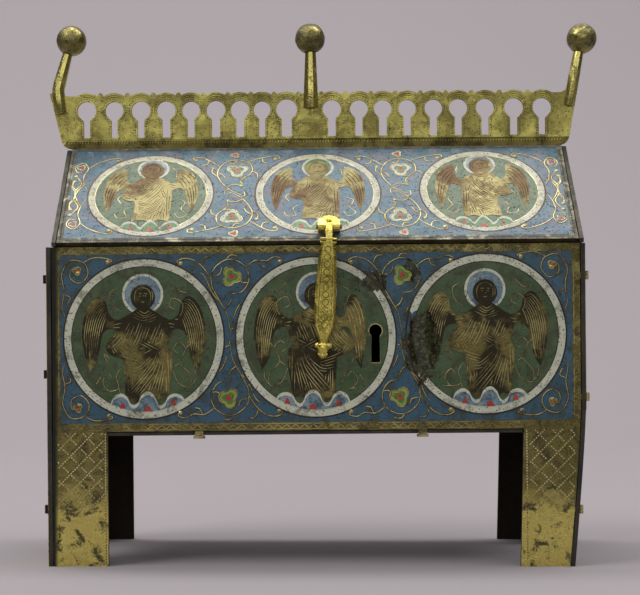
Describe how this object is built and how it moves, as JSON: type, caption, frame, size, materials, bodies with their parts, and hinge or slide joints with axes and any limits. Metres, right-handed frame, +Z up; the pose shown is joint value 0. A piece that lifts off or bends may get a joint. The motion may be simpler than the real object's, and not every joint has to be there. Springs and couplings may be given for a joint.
{
  "type": "reliquary casket",
  "caption": "House-shaped reliquary casket of gilt and enamelled copper plates on straight feet, with a hinged gabled lid, a pierced crest with knobs and a hanging hasp.",
  "frame": {"origin": "on the floor under the middle of the casket's outline, crest and knobs included", "axes": "+X along the casket to the right as seen from the front, -Y towards the front with the hasp, +Z up; the body leans half a degree to the left, because its right-hand feet are longer"},
  "size_m": [0.1959, 0.0807, 0.1893],
  "materials": {
    "enamelled_copper": "champleve enamel in blue, green, white and red between worn gilt copper lines",
    "gilt_copper": "worn mercury gilding, engraved and punched",
    "bare_copper": "bare copper gone dark brown and black"
  },
  "bodies": {
    "casket": {"front_plate": "enamelled_copper", "back_plate": "enamelled_copper", "left_end_plate": "enamelled_copper", "right_end_plate": "enamelled_copper", "floor_plate": "bare_copper", "left_hinge_body_leaf": "gilt_copper", "left_hinge_pin": "bare_copper", "right_hinge_body_leaf": "gilt_copper", "right_hinge_pin": "bare_copper"},
    "lid": {"roof_front": "enamelled_copper", "roof_back": "enamelled_copper", "left_gable": "enamelled_copper", "right_gable": "enamelled_copper", "crest": "gilt_copper", "left_stem": "gilt_copper", "middle_stem": "gilt_copper", "right_stem": "gilt_copper", "left_knob": "gilt_copper", "middle_knob": "gilt_copper", "right_knob": "gilt_copper", "left_hinge_lid_leaf": "gilt_copper", "right_hinge_lid_leaf": "gilt_copper", "hasp_hinge_leaf": "gilt_copper", "hasp_hinge_pin": "bare_copper"},
    "hasp": {"hasp": "gilt_copper"}
  },
  "joints": [
    {"name": "lid_hinge", "type": "hinge", "parent": "casket", "child": "lid", "pos_m": [-0.00264, 0.0384, 0.107], "axis": [-1, 0, -0.0087], "range_deg": [0, 105]},
    {"name": "hasp_hinge", "type": "hinge", "parent": "lid", "child": "hasp", "pos_m": [0.0019, -0.03498, 0.11393], "axis": [-1, 0, -0.0087], "range_deg": [0, 105]}
  ]
}
